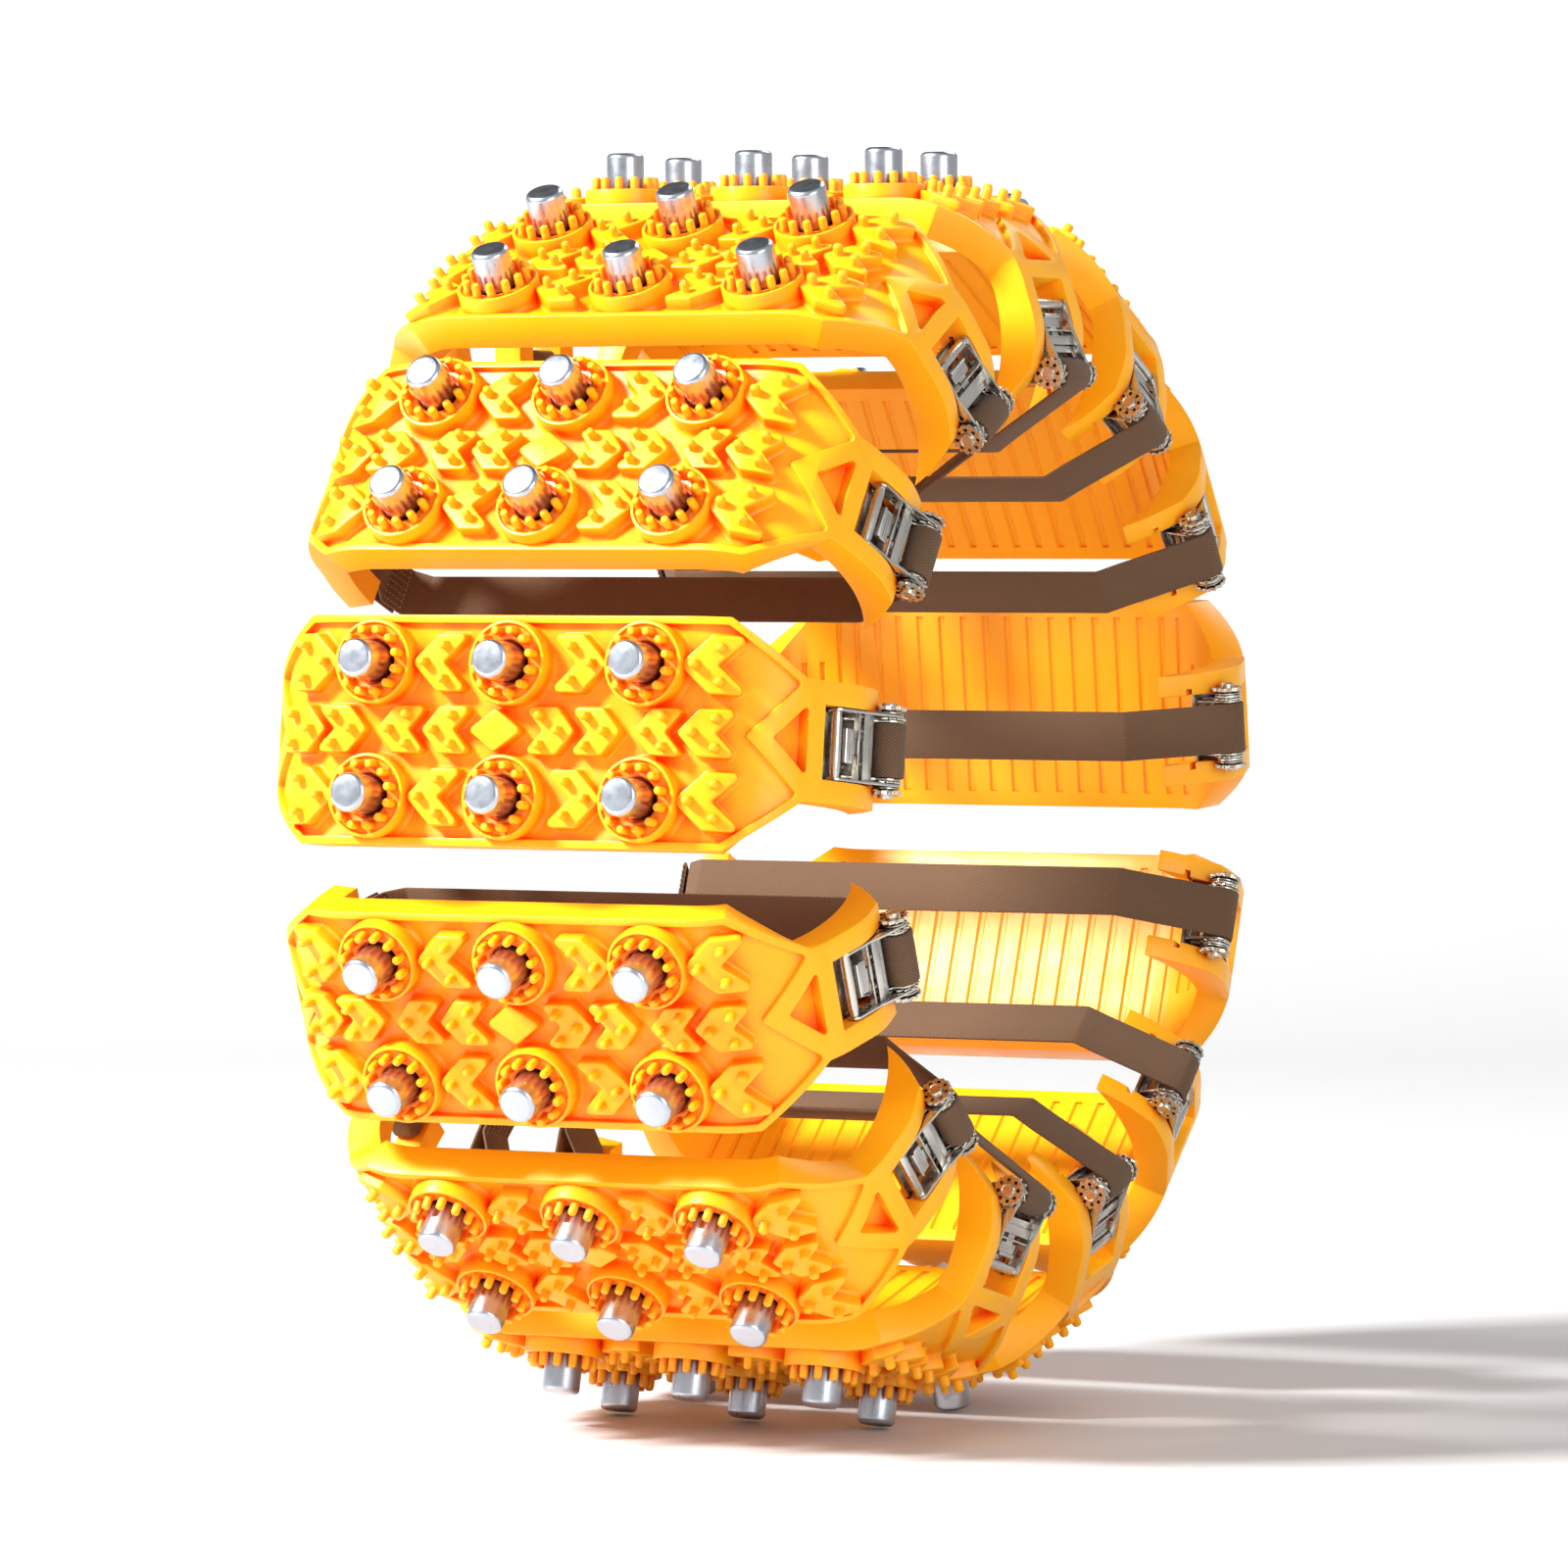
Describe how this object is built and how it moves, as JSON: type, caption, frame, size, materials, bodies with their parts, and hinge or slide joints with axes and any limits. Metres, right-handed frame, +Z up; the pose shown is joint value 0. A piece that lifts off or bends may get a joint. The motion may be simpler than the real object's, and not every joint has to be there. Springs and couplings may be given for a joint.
{
  "type": "tire snow chains",
  "caption": "Ring of strap-on traction pads for a wide car tyre: moulded studded pads, each tightened round tyre and rim by a webbing strap and a ratchet buckle.",
  "frame": {"origin": "the wheel's centre: on the axle line, halfway along the pads", "axes": "+X along the axle, pointing away from the car, towards the ratchet buckles; +Z up; unit 01 faces -Y and the units are numbered upwards over the top of the wheel"},
  "size_m": [0.3679, 0.746, 0.7412],
  "materials": {
    "elastomer": "satin moulded thermoplastic polyurethane, yellow-orange",
    "stud_steel": "turned steel, bare",
    "webbing": "tight woven polyester webbing, taupe brown",
    "zinc_steel": "zinc plated pressed steel, faint yellow passivation",
    "handle_steel": "zinc plated pressed steel",
    "pawl_steel": "hardened steel plate, zinc plated"
  },
  "bodies": {
    "root": {"pad_01": "elastomer", "strap_01": "webbing", "ratchet_base_01": "zinc_steel", "pad_02": "elastomer", "strap_02": "webbing", "ratchet_base_02": "zinc_steel", "pad_03": "elastomer", "strap_03": "webbing", "ratchet_base_03": "zinc_steel", "pad_04": "elastomer", "strap_04": "webbing", "ratchet_base_04": "zinc_steel", "pad_05": "elastomer", "strap_05": "webbing", "ratchet_base_05": "zinc_steel", "pad_06": "elastomer", "strap_06": "webbing", "ratchet_base_06": "zinc_steel", "pad_07": "elastomer", "strap_07": "webbing", "ratchet_base_07": "zinc_steel", "pad_08": "elastomer", "strap_08": "webbing", "ratchet_base_08": "zinc_steel", "pad_09": "elastomer", "strap_09": "webbing", "ratchet_base_09": "zinc_steel", "pad_10": "elastomer", "strap_10": "webbing", "ratchet_base_10": "zinc_steel", "pad_11": "elastomer", "strap_11": "webbing", "ratchet_base_11": "zinc_steel", "pad_12": "elastomer", "strap_12": "webbing", "ratchet_base_12": "zinc_steel", "pad_13": "elastomer", "strap_13": "webbing", "ratchet_base_13": "zinc_steel"},
    "handle_01": {"ratchet_handle_01": "handle_steel"},
    "handle_02": {"ratchet_handle_02": "handle_steel"},
    "handle_03": {"ratchet_handle_03": "handle_steel"},
    "handle_04": {"ratchet_handle_04": "handle_steel"},
    "handle_05": {"ratchet_handle_05": "handle_steel"},
    "handle_06": {"ratchet_handle_06": "handle_steel"},
    "handle_07": {"ratchet_handle_07": "handle_steel"},
    "handle_08": {"ratchet_handle_08": "handle_steel"},
    "handle_09": {"ratchet_handle_09": "handle_steel"},
    "handle_10": {"ratchet_handle_10": "handle_steel"},
    "handle_11": {"ratchet_handle_11": "handle_steel"},
    "handle_12": {"ratchet_handle_12": "handle_steel"},
    "handle_13": {"ratchet_handle_13": "handle_steel"},
    "spool_01": {"spool_01": "zinc_steel"},
    "lock_pawl_01": {"lock_pawl_01": "pawl_steel"},
    "drive_pawl_01": {"drive_pawl_01": "pawl_steel"}
  },
  "joints": [
    {"name": "handle_01_hinge", "type": "hinge", "parent": "root", "child": "handle_01", "pos_m": [0.182, -0.23746, 0.02706], "axis": [0, 0.1132, 0.9936], "range_deg": [0, 170]},
    {"name": "handle_02_hinge", "type": "hinge", "parent": "root", "child": "handle_02", "pos_m": [0.182, -0.19769, 0.13431], "axis": [0, 0.562, 0.8272], "range_deg": [0, 170]},
    {"name": "handle_03_hinge", "type": "hinge", "parent": "root", "child": "handle_03", "pos_m": [0.182, -0.11263, 0.2108], "axis": [0, 0.882, 0.4712], "range_deg": [0, 170]},
    {"name": "handle_04_hinge", "type": "hinge", "parent": "root", "child": "handle_04", "pos_m": [0.182, -0.00176, 0.23899], "axis": [0, 1, 0.0074], "range_deg": [0, 170]},
    {"name": "handle_05_hinge", "type": "hinge", "parent": "root", "child": "handle_05", "pos_m": [0.182, 0.1095, 0.21244], "axis": [0, 0.8889, -0.4582], "range_deg": [0, 170]},
    {"name": "handle_06_hinge", "type": "hinge", "parent": "root", "child": "handle_06", "pos_m": [0.182, 0.19569, 0.13722], "axis": [0, 0.5741, -0.8188], "range_deg": [0, 170]},
    {"name": "handle_07_hinge", "type": "hinge", "parent": "root", "child": "handle_07", "pos_m": [0.182, 0.23704, 0.03056], "axis": [0, 0.1279, -0.9918], "range_deg": [0, 170]},
    {"name": "handle_08_hinge", "type": "hinge", "parent": "root", "child": "handle_08", "pos_m": [0.182, 0.22409, -0.0831], "axis": [0, -0.3477, -0.9376], "range_deg": [0, 170]},
    {"name": "handle_09_hinge", "type": "hinge", "parent": "root", "child": "handle_09", "pos_m": [0.182, 0.1598, -0.17772], "axis": [0, -0.7436, -0.6686], "range_deg": [0, 170]},
    {"name": "handle_10_hinge", "type": "hinge", "parent": "root", "child": "handle_10", "pos_m": [0.182, 0.05891, -0.23163], "axis": [0, -0.9691, -0.2465], "range_deg": [0, 170]},
    {"name": "handle_11_hinge", "type": "hinge", "parent": "root", "child": "handle_11", "pos_m": [0.182, -0.05548, -0.23247], "axis": [0, -0.9727, 0.2321], "range_deg": [0, 170]},
    {"name": "handle_12_hinge", "type": "hinge", "parent": "root", "child": "handle_12", "pos_m": [0.182, -0.15716, -0.18006], "axis": [0, -0.7534, 0.6576], "range_deg": [0, 170]},
    {"name": "handle_13_hinge", "type": "hinge", "parent": "root", "child": "handle_13", "pos_m": [0.182, -0.22284, -0.0864], "axis": [0, -0.3615, 0.9324], "range_deg": [0, 170]},
    {"name": "spool_01_turn", "type": "hinge", "parent": "root", "child": "spool_01", "pos_m": [0.182, -0.23746, 0.02706], "axis": [0, 0.1132, 0.9936], "continuous": true},
    {"name": "lock_pawl_01_slide", "type": "slide", "parent": "root", "child": "lock_pawl_01", "axis": [-1, 0, 0], "range_m": [0, 0.0018], "stiffness_N_per_m": 400, "springref_m": -0.002},
    {"name": "drive_pawl_01_slide", "type": "slide", "parent": "handle_01", "child": "drive_pawl_01", "axis": [-0.2874, -0.9517, 0.1084], "range_m": [0, 0.002], "stiffness_N_per_m": 400, "springref_m": -0.002}
  ]
}
